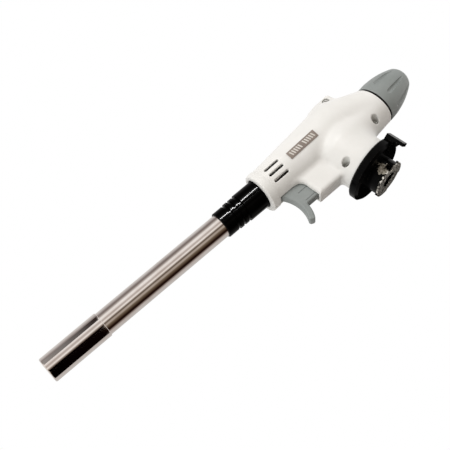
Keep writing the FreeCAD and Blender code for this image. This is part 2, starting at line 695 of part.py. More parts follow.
def valve_body():
    pieces = [
        neck_rod(FLANGE_R, PILOT_TOP, FLANGE_TOP),
        neck_rod(COLUMN_R, FLANGE_TOP - 1, BLOCK_LOW + 2.0),
        neck_rod(BLOCK_R, BLOCK_LOW, BLOCK_LOW + BLOCK_HEIGHT),
        knob_rod(ARM_R, ARM_END_X, 0),
        barrel_rod(JET_ARM_R, JET_BACK, ARM_FRONT),
    ]
    body = fuse(*pieces)
    passage_top = at(JET_BACK + 1.0, 0)
    cuts = [
        neck_rod(PASSAGE_R, 0, PILOT_TOP + 0.6),
        neck_rod(COLUMN_HOLE_R, DISC_BACK, KNOB_AXIS_Z),
        knob_rod(GAS_HOLE_R, SEAT_X - 1, 0),
        knob_rod(SPINDLE_BORE_R, ARM_END_X - 1, SEAT_X),
        knob_rod(GLAND_R, ARM_END_X - 1, ARM_END_X + 6.0),
        rod(GAS_HOLE_R, V(SEAT_X - 1.2, 0, KNOB_AXIS_Z), passage_top),
        barrel_rod(JET_R, JET_BACK + 0.5, ARM_FRONT + 1),
        barrel_rod(MIXING_R, -MIXING_TAIL, ARM_FRONT + 1),
    ]
    cuts += base_screw_holes(DISC_BACK)
    return body.cut(fuse(*cuts))


def valve_spindle():
    """Needle, threaded journal and hexagonal drive in one. Closed when the needle is in its seat."""
    journal_end = NEEDLE_LENGTH + JOURNAL_LENGTH
    tip = V(NEEDLE_X, 0, KNOB_AXIS_Z)
    body = turned([(0, 0), (0, 0.3), (NEEDLE_GAP, 0.7), (NEEDLE_LENGTH - 0.6, 2.0),
                   (NEEDLE_LENGTH, SPINDLE_R), (journal_end, SPINDLE_R), (journal_end, 0)], tip, -FORWARD)
    drive = hexagon(HEX_ACROSS, tip - FORWARD * (journal_end - 0.4), V(DRIVE_END_X, 0, KNOB_AXIS_Z))
    return fuse(body, drive)


def spindle_seal():
    section = (GLAND_R - SPINDLE_BORE_R) / 2
    middle = V(ARM_END_X + GLAND_SPIGOT + 0.8, 0, KNOB_AXIS_Z)
    return Part.makeTorus(SPINDLE_BORE_R + section, section, middle, FORWARD)


def gland_nut():
    spigot = knob_rod(GLAND_R, ARM_END_X, ARM_END_X + GLAND_SPIGOT)
    back = ARM_END_X - GLAND_HEAD
    head = hexagon(GLAND_ACROSS, V(back, 0, KNOB_AXIS_Z), V(ARM_END_X, 0, KNOB_AXIS_Z))
    return fuse(spigot, head).cut(knob_rod(SPINDLE_BORE_R, back - 1, ARM_END_X + GLAND_SPIGOT + 1))


def gas_jet():
    start = at(JET_BACK + 6.0, 0)
    bore_r, orifice_r, head_r = 0.6, 0.15, 3.0
    return turned([(0, bore_r), (0, JET_R), (8.5, JET_R), (8.5, head_r), (10.5, head_r), (12.0, 1.4),
                   (12.0, orifice_r), (10.0, orifice_r), (9.0, bore_r)], start, BARREL)


def jet_filter():
    return barrel_rod(JET_R, JET_BACK + 3.5, JET_BACK + 5.5)


# ---- knob ----------------------------------------------------------------------------------

def from_rim(along, radius):
    return KNOB_START - FORWARD * along + SIDE * radius


def control_knob():
    """Bullet-shaped grip, hollow under its skirt, with a neck and flange held by the housing halves."""
    shoulder = KNOB_LENGTH - KNOB_NOSE_LENGTH
    edges = [
        Part.makeLine(from_rim(0, 0), from_rim(0, KNOB_BASE_R - 0.6)),
        Part.Arc(from_rim(0, KNOB_BASE_R - 0.6), from_rim(0.2, KNOB_BASE_R - 0.2),
                 from_rim(0.6, KNOB_BASE_R)).toShape(),
        Part.makeLine(from_rim(0.6, KNOB_BASE_R), from_rim(KNOB_STRAIGHT, KNOB_BASE_R)),
        Part.Arc(from_rim(KNOB_STRAIGHT, KNOB_BASE_R), from_rim(*KNOB_WAIST),
                 from_rim(shoulder, KNOB_NOSE_R)).toBSpline().toShape(),
        Part.Arc(from_rim(shoulder, KNOB_NOSE_R), from_rim(KNOB_LENGTH - 0.9, 6.0),
                 from_rim(KNOB_LENGTH, 0)).toBSpline().toShape(),
        Part.makeLine(from_rim(KNOB_LENGTH, 0), from_rim(0, 0)),
    ]
    grip = Part.Face(Part.Wire(edges)).revolve(KNOB_START, FORWARD, 360)
    flange_x = RIM_X + WALL + KNOB_FLANGE_GAP
    neck = knob_rod(KNOB_NECK_R, KNOB_START.x - 1, flange_x)
    flange = knob_rod(KNOB_FLANGE_R, flange_x, flange_x + KNOB_FLANGE_THICKNESS)
    body = fuse(grip, neck, flange)
    drive = hexagon(HEX_ACROSS + 2 * RUNNING_CLEARANCE, V(DRIVE_HOLE_X, 0, KNOB_AXIS_Z),
                    V(flange_x + 3, 0, KNOB_AXIS_Z))
    hollow_end = KNOB_START.x - KNOB_HOLLOW_DEPTH
    hollow = knob_rod(KNOB_HOLLOW_R, hollow_end, KNOB_START.x + 0.01).cut(
        knob_rod(KNOB_CORE_R, hollow_end - 1, KNOB_START.x + 1))
    for groove in [drive, hollow] + knob_flutes():
        body = body.cut(groove)
    return body


def tear(start, end, start_r, end_r):
    """A ball at each end with the cone that touches both, as one solid of revolution."""
    axis = (end - start).normalize()
    length = (end - start).Length
    side = axis.cross(SIDE).normalize() if abs(axis.dot(SIDE)) < 0.9 else axis.cross(UP).normalize()
    lean = math.asin((start_r - end_r) / length)

    def spot(centre, radius, angle):
        return start + axis * (centre + radius * math.sin(angle)) + side * (radius * math.cos(angle))

    quarter = math.pi / 2
    edges = [
        Part.Arc(spot(0, start_r, -quarter), spot(0, start_r, (lean - quarter) / 2),
                 spot(0, start_r, lean)).toShape(),
        Part.makeLine(spot(0, start_r, lean), spot(length, end_r, lean)),
        Part.Arc(spot(length, end_r, lean), spot(length, end_r, (lean + quarter) / 2),
                 spot(length, end_r, quarter)).toShape(),
        Part.makeLine(spot(length, end_r, quarter), spot(0, start_r, -quarter)),
    ]
    return Part.Face(Part.Wire(edges)).revolve(start, axis, 360)


def knob_flutes():
    """Tear-shaped finger grooves, widest at the skirt, running out near the nose."""
    start_along, start_r, width = 8.6, KNOB_BASE_R + 0.9, 2.1
    end_along, end_r, end_width = 27.6, 11.3, 0.9
    cuts = []
    for number in range(FLUTES):
        angle = math.radians(360.0 * (number + 0.5) / FLUTES)
        arm = SIDE * math.cos(angle) + UP * math.sin(angle)
        start = KNOB_START - FORWARD * start_along + arm * start_r
        end = KNOB_START - FORWARD * end_along + arm * end_r
        cuts.append(tear(start, end, width, end_width))
    return cuts


# ---- trigger and piezo unit ----------------------------------------------------------------

def trigger():
    tip_front, tip_rear, hook_root = (-9.6, -40.6), (-13.6, -42.4), (-18.0, TRIGGER_BOTTOM)
    outline = [
        (TRIGGER_FRONT, TRIGGER_TOP), (-12.9, -26.5) + tip_front, tip_rear,
        (-17.0, -36.0) + hook_root,
        (PLUNGER_FRONT, TRIGGER_BOTTOM), (PLUNGER_FRONT, TRIGGER_TOP),
    ]
    body = plate(outline, at, TRIGGER_HALF)
    body = round_corners(body, 1.7, [tip_front, tip_rear])
    body = round_corners(body, 1.0, [hook_root])
    rims = [e for e in body.Edges if abs(abs(e.CenterOfMass.y) - TRIGGER_HALF) < 0.01
            and isinstance(e.Curve, Part.Circle)]
    body = body.makeFillet(1.4, rims)
    grooves = []
    for side in (-1, 1):
        for rise in (-20.6, -28.2):
            corner = at(-31.0, rise, side * TRIGGER_HALF)
            points = [corner, corner + BARREL * 12.5, corner + BARREL * 12.5 + RISE * 0.8,
                      corner + RISE * 0.8]
            face = Part.Face(Part.makePolygon(points + points[:1]))
            face.translate(SIDE * (-side * 0.4))
            grooves.append(face.extrude(SIDE * (side * 1.0)))
    return body.cut(fuse(*grooves))


def piezo_igniter():
    body = barrel_rod(PIEZO_R, PIEZO_REAR, PIEZO_FRONT, PIEZO_RISE)
    body = body.makeFillet(0.5, [e for e in body.Edges if e.Closed])
    return body.cut(barrel_rod(PLUNGER_R + PLUNGER_CLEARANCE, BORE_END, PIEZO_FRONT + 1, PIEZO_RISE))


def piezo_plunger():
    return barrel_rod(PLUNGER_R, PLUNGER_REAR, PLUNGER_FRONT, PIEZO_RISE)


def trigger_spring():
    length = PLUNGER_REAR - BORE_END
    height = length - 2 * SPRING_WIRE_R
    helix = Part.makeHelix(height / SPRING_TURNS, height, SPRING_R)
    section = Part.Wire(Part.makeCircle(SPRING_WIRE_R, V(SPRING_R, 0, 0), V(0, 1, 0)))
    coil = Part.Wire(helix.Edges).makePipeShell([section], True, True)
    coil.Placement = FreeCAD.Placement(at(BORE_END + SPRING_WIRE_R, PIEZO_RISE),
                                       FreeCAD.Rotation(UP, BARREL))
    return coil


def earth_strip():
    """A bent strip from the rear of the piezo unit to the column of the valve body."""
    rear = at(PIEZO_REAR, PIEZO_RISE)
    thickness, width = 0.5, 4.0
    low = rear.z - 4.0
    foot = Part.makeBox(thickness, width, 5.0, V(COLUMN_R, -width / 2, low - 2.0))
    foot = foot.cut(neck_rod(COLUMN_R, low - 3.0, low + 4.0))
    tongue_end = rear.x - 0.9
    tongue = Part.makeBox(tongue_end - COLUMN_R, width, thickness, V(COLUMN_R, -width / 2, low - 2.0))
    riser = Part.makeBox(thickness, width, 4.4, V(tongue_end - thickness, -width / 2, low - 2.0))
    return fuse(foot, tongue, riser)


NODES = {
    "barrel_collar": barrel_collar,
    "flame_tube": flame_tube,
    "nozzle_sleeve": nozzle_sleeve,
    "burner_head": burner_head,
    "flame_gauze": flame_gauze,
    "mixing_tube": mixing_tube,
    "electrode_rod": electrode_rod,
    "electrode_insulator": electrode_insulator,
    "ignition_lead": ignition_lead,
    "bayonet_base": bayonet_base,
    "stem_seat": stem_seat,
    "stem_gasket": stem_gasket,
    "base_screws": base_screws,
    "valve_body": valve_body,
    "valve_spindle": valve_spindle,
    "spindle_seal": spindle_seal,
    "gland_nut": gland_nut,
    "gas_jet": gas_jet,
    "jet_filter": jet_filter,
    "control_knob": control_knob,
    "trigger": trigger,
    "piezo_igniter": piezo_igniter,
    "piezo_plunger": piezo_plunger,
    "trigger_spring": trigger_spring,
    "earth_strip": earth_strip,
    "label_plate": label_plate,
    "housing_screws": housing_screws,
}

os.makedirs("parts", exist_ok=True)
shapes = {name: make() for name, make in NODES.items()}
housing = housing_solid()
shapes["housing_left"] = half_of(housing, 1)
shapes["housing_right"] = half_of(housing, -1)
for name, shape in shapes.items():
    print(name, len(shape.Solids), shape.isValid(), round(shape.Volume, 1))
    shape.exportStep("parts/" + name + ".step")
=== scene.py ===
import bpy
import json
import math
import numpy as np
from mathutils import Matrix, Vector


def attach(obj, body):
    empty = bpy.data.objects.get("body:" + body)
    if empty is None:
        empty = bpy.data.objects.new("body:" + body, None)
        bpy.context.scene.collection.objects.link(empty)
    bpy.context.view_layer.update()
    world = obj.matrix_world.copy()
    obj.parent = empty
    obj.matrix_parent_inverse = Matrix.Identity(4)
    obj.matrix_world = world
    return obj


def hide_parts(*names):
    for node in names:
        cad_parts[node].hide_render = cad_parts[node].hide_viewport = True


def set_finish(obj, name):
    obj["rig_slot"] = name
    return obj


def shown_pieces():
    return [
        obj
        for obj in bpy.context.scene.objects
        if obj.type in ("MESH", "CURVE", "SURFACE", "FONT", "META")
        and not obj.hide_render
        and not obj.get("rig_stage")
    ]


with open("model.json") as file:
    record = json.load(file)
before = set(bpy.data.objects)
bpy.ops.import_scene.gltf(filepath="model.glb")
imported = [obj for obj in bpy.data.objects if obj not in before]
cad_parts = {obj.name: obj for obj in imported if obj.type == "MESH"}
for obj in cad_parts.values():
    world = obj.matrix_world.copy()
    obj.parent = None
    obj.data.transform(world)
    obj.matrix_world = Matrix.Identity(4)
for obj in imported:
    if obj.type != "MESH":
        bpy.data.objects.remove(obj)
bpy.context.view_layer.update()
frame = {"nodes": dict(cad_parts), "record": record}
nodes = frame["nodes"]
scene = bpy.context.scene

MM = 0.001
SLOT_OF = {part["node"]: part["material_slot"] for part in frame["record"]["subparts"]}

# ---- the torch's own directions and main sizes, in millimetres ------------------------------
# reach runs along the barrel from the housing's mouth, and rise runs up square to it
TILT = math.radians(8.0)
BARREL = np.array([math.cos(TILT), 0.0, math.sin(TILT)])
RISE = np.array([-math.sin(TILT), 0.0, math.cos(TILT)])
SIDE = np.array([0.0, 1.0, 0.0])
MOUTH = np.array([63.6, 0.0, 64.0])
BODY_TILT = math.radians(5.2)
BODY = np.array([math.cos(BODY_TILT), 0.0, math.sin(BODY_TILT)])
BODY_START = MOUTH - 0.6 * RISE
BODY_LENGTH = 80.0
BODY_R = (14.6, 18.8)                   # at the mouth, and at the rear end of the tapered body
RIM_X = -41.8                           # the housing's rear rim, in front of the knob
REAR_R = 15.9
REAR_START = -4.0                       # x where the round rear part begins
KNOB_Z = 43.9
NECK_R = 20.0
NECK = (17.4, 48.5)                     # height of the neck's foot and of its top
NECK_SHOULDER = 9.0
WALL = 2.2
SOLID_MOUTH = 8.8                       # reach behind the mouth that isn't hollow
STEP = 0.42      # spacing of the grid that the housing is drawn on
GRID = (-45.0, -24.0, 14.0), (67.0, 24.0, 82.0)
HALF_GAP = 0.05                         # from each half's edge to the parting plane

# how softly each part of the housing runs into the rest
MAIN_BLUR = 1.9
BLEND = dict(neck=6.5, box=2.4, lug=4.5, bead=1.6, mouth=1.6, rim=0.7, foot=1.0, hole=0.5)

TRIGGER_BOX = dict(half=7.8, rounding=1.5)
LUG = dict(half=3.4, rounding=0.9, root=61.0)
BEAD = dict(height=0.55, middle=3.0, half=2.6)

# bores in the barrel's direction, and the seats of the knob and the base
MOUTH_BORE = dict(radius=11.4, depth=3.0)
COLLAR_GROOVE = dict(radius=12.2, reach=-4.65, half=1.75)
COLLAR_BORE = dict(radius=9.9, reach=-10.1, half=4.0)
KNOB_BORE = dict(radius=9.2, depth=4.2)
BASE_BORE = dict(radius=13.3, depth=4.0)
TRIGGER_SLOT = dict(rise=-21.15, reach=-23.5, half_width=4.3, half_height=9.25, half_length=16.0)

POST_R, HEAD_HOLE_R, PILOT_R = 3.6, 2.8, 1.6
# x, z, face of the head from the parting plane, depth of the hole past that plane
SCREW_SITES = ((13.3, 27.1, 4.5, 7.0), (-28.2, 33.3, 4.0, 7.5), (-23.4, 72.5, 0.9, 2.9))
SLOT = dict(reach=-16.4, rise=-1.1, pitch=5.2, length=12.8, width=1.9, side=6.0)
LABEL = dict(reach=-42.3, rise=0.5, tilt=math.radians(1.2), thickness=0.5)
BARS = dict(places=11, empty=5, slant=1.1, width=1.05, pitch=2.05, half=1.75, above=0.12, below=0.2)
PAINTED_GAP_SHADOW = 0.0013                          # metres behind the rim where the knob is painted black, a painted shadow in the gap between knob and housing


def at(reach, rise, side=0.0):
    """A point in the barrel's own directions, in millimetres."""
    return MOUTH + reach * BARREL + rise * RISE + side * SIDE


# ---- camera ---------------------------------------------------------------------------------
# metres; it looks up at the torch's left side from in front of it and below
CAMERA_PLACE = (0.27018, 0.54592, -0.14822)
CAMERA_RIGHT = Vector((-0.64682, -0.09278, -0.75698))
CAMERA_UP = Vector((-0.70784, 0.44248, 0.55060))
CAMERA_BACK = Vector((0.28386, 0.89196, -0.35188))


def add_camera():
    data = bpy.data.cameras.new("camera")
    data.lens = 71.3
    data.sensor_width = 36.0
    data.clip_start, data.clip_end = 0.01, 50.0
    camera = bpy.data.objects.new("camera", data)
    scene.collection.objects.link(camera)
    axes = Matrix((CAMERA_RIGHT, CAMERA_UP, CAMERA_BACK)).transposed()
    camera.matrix_world = Matrix.Translation(CAMERA_PLACE) @ axes.to_4x4()
    scene.camera = camera


# ---- distance fields for the moulded housing ------------------------------------------------

def soft_min(a, b, blend):
    h = np.maximum(blend - np.abs(a - b), 0.0) / blend
    return np.minimum(a, b) - h * h * blend / 4


def soft_max(a, b, blend):
    return -soft_min(-a, -b, blend)


def blurred(field, sigma, step):
    reach = int(math.ceil(2.5 * sigma / step))
    weights = np.exp(-0.5 * (np.arange(-reach, reach + 1) * step / sigma) ** 2)
    weights /= weights.sum()
    for axis in range(3):
        padded = np.pad(field, [(reach, reach) if a == axis else (0, 0) for a in range(3)], "edge")
        total = np.zeros_like(field)
        for number, weight in enumerate(weights):
            cut = [slice(None)] * 3
            cut[axis] = slice(number, number + field.shape[axis])
            total += np.float32(weight) * padded[tuple(cut)]
        field = total
    return field


def polygon_field(a, b, outline):
    """Signed distance to a closed outline of (a, b) corners."""
    best = np.full(a.shape, 1e9, np.float32)
    inside = np.zeros(a.shape, bool)
    count = len(outline)
    for i in range(count):
        (a0, b0), (a1, b1) = outline[i], outline[(i + 1) % count]
        ea, eb = a1 - a0, b1 - b0
        t = np.clip(((a - a0) * ea + (b - b0) * eb) / (ea * ea + eb * eb), 0, 1)
        best = np.minimum(best, (a - a0 - t * ea) ** 2 + (b - b0 - t * eb) ** 2)
        if eb != 0:
            crosses = ((b0 > b) != (b1 > b)) & (a < (b - b0) * ea / eb + a0)
            inside ^= crosses
    return np.where(inside, -np.sqrt(best), np.sqrt(best))


def prism(a, b, y, outline, half, rounding):
    """An outline drawn out to half on each side of y = 0, with its side edges rounded."""
    return soft_max(polygon_field(a, b, outline), np.abs(y) - half, 2.4 * rounding)


def arc_points(start, via, end, count):
    """Points on the circle through three points, start and end included."""
    (x1, y1), (x2, y2), (x3, y3) = start, via, end
    d = 2 * (x1 * (y2 - y3) + x2 * (y3 - y1) + x3 * (y1 - y2))
    s1, s2, s3 = x1 * x1 + y1 * y1, x2 * x2 + y2 * y2, x3 * x3 + y3 * y3
    cx = (s1 * (y2 - y3) + s2 * (y3 - y1) + s3 * (y1 - y2)) / d
    cy = (s1 * (x3 - x2) + s2 * (x1 - x3) + s3 * (x2 - x1)) / d
    radius = math.hypot(x1 - cx, y1 - cy)
    first, middle, last = (math.atan2(y - cy, x - cx) for x, y in (start, via, end))
    turn = (last - first) % (2 * math.pi)
    if (middle - first) % (2 * math.pi) > turn:
        turn -= 2 * math.pi
    return [(cx + radius * math.cos(first + turn * k / (count - 1)),
             cy + radius * math.sin(first + turn * k / (count - 1))) for k in range(count)]


def housing_fields(x, y, z):
    """Outer skin of the housing as one field, and the barrel coordinates it is cut with."""
    reach = (x - MOUTH[0]) * BARREL[0] + (z - MOUTH[2]) * BARREL[2]
    rise = (x - MOUTH[0]) * RISE[0] + (z - MOUTH[2]) * RISE[2]
    back = -((x - BODY_START[0]) * BODY[0] + (z - BODY_START[2]) * BODY[2])
    across = -(x - BODY_START[0]) * BODY[2] + (z - BODY_START[2]) * BODY[0]
    round_body = np.sqrt(y * y + across * across)
    taper = round_body - (BODY_R[0] + (BODY_R[1] - BODY_R[0]) * back / BODY_LENGTH)
    taper = np.maximum(taper, back - BODY_LENGTH)

    joint = BODY_START - BODY_LENGTH * BODY
    t = (joint[0] - x) / (joint[0] - RIM_X)
    centre = joint[2] + (KNOB_Z - joint[2]) * t
    loft = np.sqrt(y * y + (z - centre) ** 2) - (BODY_R[1] + (REAR_R - BODY_R[1]) * t)
    loft = np.maximum(loft * 0.95, x - joint[0] - 0.5)

    rear_round = np.sqrt(y * y + (z - KNOB_Z) ** 2)
    rear = np.maximum(rear_round - REAR_R, x - REAR_START)
    ball = np.sqrt((x - REAR_START) ** 2 + y * y + (z - KNOB_Z) ** 2) - REAR_R
    main = blurred(np.minimum(np.minimum(taper, loft), np.minimum(rear, ball)), MAIN_BLUR, STEP)

    axis_r = np.sqrt(x * x + y * y)
    ring = np.maximum(axis_r - NECK_R + NECK_SHOULDER, 0)
    top = np.maximum(z - NECK[1] + NECK_SHOULDER, 0)
    neck = np.sqrt(ring * ring + top * top) - NECK_SHOULDER
    neck = np.minimum(neck, np.where((ring == 0) & (top == 0), -NECK_SHOULDER, 1e9))
    skin = soft_min(main, neck, BLEND["neck"])

    front = arc_points((-20.6, -13.4), (-24.9, -16.6), (-26.6, -22.5), 8)
    outline = [(-19.5, -4.0)] + front + [(-28.1, -32.6), (-56.0, -32.6), (-56.0, -4.0)]
    box = prism(reach, rise, y, outline, **TRIGGER_BOX)
    skin = soft_min(skin, box, BLEND["box"])

    lug_outline = [(-4.0, 72.9), (-8.0, 75.9), (-13.0, 76.5), (-25.6, 76.5)]
    lug_outline += arc_points((-25.6, 76.5), (-28.6, 75.7), (-29.4, 72.7), 6)[1:]
    lug_outline += [(-31.4, LUG["root"]), (-10.0, LUG["root"])]
    lug = prism(x, z, y, lug_outline, LUG["half"], LUG["rounding"])
    skin = soft_min(skin, lug, BLEND["lug"])

    bead = np.maximum(round_body - BODY_R[0] - BEAD["height"],
                      np.abs(back - BEAD["middle"]) - BEAD["half"])
    skin = soft_min(skin, bead, BLEND["bead"])
    skin = soft_max(skin, reach, BLEND["mouth"])
    skin = soft_max(skin, RIM_X - x, BLEND["rim"])
    skin = soft_max(skin, NECK[0] - z, BLEND["foot"])
    return skin, reach, rise, rear_round, axis_r


def housing_shell(x, y, z):
    """The housing's wall, with its bores, screw holes and air slots taken out."""
    skin, reach, rise, rear_round, axis_r = housing_fields(x, y, z)
    inside = np.maximum(skin + WALL, reach + SOLID_MOUTH)
    for px, pz, *_ in SCREW_SITES:
        post = np.sqrt((x - px) ** 2 + (z - pz) ** 2) - POST_R
        inside = np.maximum(inside, -post)
    shell = np.maximum(skin, -inside)

    from_axis = np.sqrt(y * y + rise * rise)
    holes = [np.maximum(from_axis - MOUTH_BORE["radius"], -MOUTH_BORE["depth"] - reach)]
    for bore in (COLLAR_GROOVE, COLLAR_BORE):
        holes.append(np.maximum(from_axis - bore["radius"],
                                np.abs(reach - bore["reach"]) - bore["half"]))
    holes += [
        np.maximum(rear_round - KNOB_BORE["radius"], x - RIM_X - KNOB_BORE["depth"]),
        np.maximum(axis_r - BASE_BORE["radius"], z - NECK[0] - BASE_BORE["depth"]),
        np.maximum(np.maximum(np.abs(y) - TRIGGER_SLOT["half_width"],
                              np.abs(rise - TRIGGER_SLOT["rise"]) - TRIGGER_SLOT["half_height"]),
                   np.abs(reach - TRIGGER_SLOT["reach"]) - TRIGGER_SLOT["half_length"]),
    ]
    for px, pz, face, depth in SCREW_SITES:
        beside = np.sqrt((x - px) ** 2 + (z - pz) ** 2)
        holes.append(np.maximum(beside - HEAD_HOLE_R, face - y))
        holes.append(np.maximum(beside - PILOT_R, -depth - y))
    for number in range(3):
        middle = SLOT["rise"] + (1 - number) * SLOT["pitch"]
        half = (SLOT["length"] - SLOT["width"]) / 2
        along = np.maximum(np.abs(reach - SLOT["reach"]) - half, 0)
        slot = np.sqrt(along ** 2 + (rise - middle) ** 2) - SLOT["width"] / 2
        holes.append(np.maximum(slot, SLOT["side"] - np.abs(y)))
    for hole in holes:
        shell = soft_max(shell, -hole, BLEND["hole"])
    return shell


def surface_net(field, origin, step):
    """Quad mesh of the field's zero surface: one point in each cell that the surface crosses."""
    inside = field < 0
    shape = tuple(n - 1 for n in field.shape)
    total = np.zeros(shape + (3,), np.float32)
    count = np.zeros(shape, np.int32)
    crossings = []
    for axis in range(3):
        low = [slice(None)] * 3
        high = [slice(None)] * 3
        low[axis], high[axis] = slice(None, -1), slice(1, None)
        a, b = field[tuple(low)], field[tuple(high)]
        change = inside[tuple(low)] != inside[tuple(high)]
        where = np.argwhere(change)
        share = a[change] / (a[change] - b[change])
        points = where.astype(np.float32)
        points[:, axis] += share
        crossings.append((where, inside[tuple(low)][change]))
        others = [k for k in range(3) if k != axis]
        for da in (0, 1):
            for db in (0, 1):
                cell = where.copy()
                cell[:, others[0]] -= da
                cell[:, others[1]] -= db
                good = np.all((cell >= 0) & (cell < np.array(shape)), axis=1)
                index = tuple(cell[good].T)
                np.add.at(total, index, points[good])
                np.add.at(count, index, 1)
    used = count > 0
    number = np.full(shape, -1, np.int64)
    number[used] = np.arange(used.sum())
    verts = total[used] / count[used][:, None] * step + np.array(origin, np.float32)
    faces = []
    for axis in range(3):
        where, starts_inside = crossings[axis]
        u, v = (axis + 1) % 3, (axis + 2) % 3
        corners = []
        for du, dv in ((1, 1), (0, 1), (0, 0), (1, 0)):
            cell = where.copy()
            cell[:, u] -= du
            cell[:, v] -= dv
            corners.append(cell)
        stack = np.stack(corners, axis=1)
        good = np.all((stack >= 0) & (stack < np.array(shape)), axis=(1, 2))
        quad = number[tuple(np.moveaxis(stack[good], 2, 0))]
        flip = ~starts_inside[good]
        quad[flip] = quad[flip][:, ::-1]
        faces.append(quad)
    return verts, np.concatenate(faces)


def mesh_object(name, verts_mm, faces):
    """A smooth-shaded mesh from points in millimetres."""
    mesh = bpy.data.meshes.new(name)
    mesh.from_pydata([tuple(v) for v in np.asarray(verts_mm) * MM], [], [tuple(f) for f in faces])
    mesh.polygons.foreach_set("use_smooth", [True] * len(mesh.polygons))
    mesh.update()
    made = bpy.data.objects.new(name, mesh)
    scene.collection.objects.link(made)
    return made


def build_housing():
    low, high = (np.array(corner) for corner in GRID)
    counts = np.ceil((high - low) / STEP).astype(int)
    # the planes of grid points stand half a step to each side of y = 0
    low[1] = -(counts[1] // 2 + 0.5) * STEP
    axes = [(low[k] + STEP * np.arange(counts[k] + 2)).astype(np.float32) for k in range(3)]
    x, y, z = np.meshgrid(*axes, indexing="ij")
    shell = housing_shell(x, y, z)
    made = []
    for name, way in (("left", 1), ("right", -1)):
        half = np.maximum(shell, HALF_GAP - way * y)
        verts, faces = surface_net(half, low, STEP)
        piece = mesh_object("moulded_half_" + name, verts, faces)
        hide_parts("housing_" + name)
        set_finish(piece, "housing_plastic")
        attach(piece, "housing")
        made.append(piece)
    return made


# ---- label ----------------------------------------------------------------------------------

def on_body(along, across, lift):
    """A point on the left side of the tapered body, from the label's own coordinates."""
    c, s = math.cos(LABEL["tilt"]), math.sin(LABEL["tilt"])
    way_along, way_across = c * BARREL - s * RISE, c * RISE + s * BARREL
    point = at(LABEL["reach"], LABEL["rise"]) + along * way_along + across * way_across
    back = -float((point - BODY_START) @ BODY)
    off_axis = float((point - BODY_START) @ np.array([-BODY[2], 0, BODY[0]]))
    radius = BODY_R[0] + (BODY_R[1] - BODY_R[0]) * back / BODY_LENGTH + lift
    point[1] = math.sqrt(radius ** 2 - off_axis ** 2)
    return point


def build_label_bars():
    """Two groups of slanting bars, raised a little from the label plate."""
    top, bottom = LABEL["thickness"] + BARS["above"], LABEL["thickness"] - BARS["below"]
    verts, faces = [], []

    def strip(corners):
        """corners: four (along, across) points, low end first, followed up in steps."""
        steps = 6
        first = len(verts)
        for k in range(steps + 1):
            t = k / steps
            left = [corners[0][i] + (corners[3][i] - corners[0][i]) * t for i in (0, 1)]
            right = [corners[1][i] + (corners[2][i] - corners[1][i]) * t for i in (0, 1)]
            for spot, lift in ((left, bottom), (right, bottom), (right, top), (left, top)):
                verts.append(on_body(spot[0], spot[1], lift))
        for k in range(steps):
            a, b = first + 4 * k, first + 4 * k + 4
            for i in range(4):
                j = (i + 1) % 4
                faces.append((a + i, a + j, b + j, b + i))
        faces.append(tuple(first + i for i in (3, 2, 1, 0)))
        faces.append(tuple(first + 4 * steps + i for i in (0, 1, 2, 3)))

    slant, width, half = BARS["slant"], BARS["width"], BARS["half"]
    for number in range(BARS["places"]):
        if number == BARS["empty"]:
            continue
        middle = (number - BARS["empty"]) * BARS["pitch"]
        strip([(middle - slant / 2 - width / 2, -half), (middle - slant / 2 + width / 2, -half),
               (middle + slant / 2 + width / 2, half), (middle + slant / 2 - width / 2, half)])
    bars = mesh_object("label_bars", verts, faces)
    for polygon in bars.data.polygons:
        polygon.use_smooth = False
    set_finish(bars, "label_plastic")
    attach(bars, "housing")
    return bars


# ---- materials ------------------------------------------------------------------------------

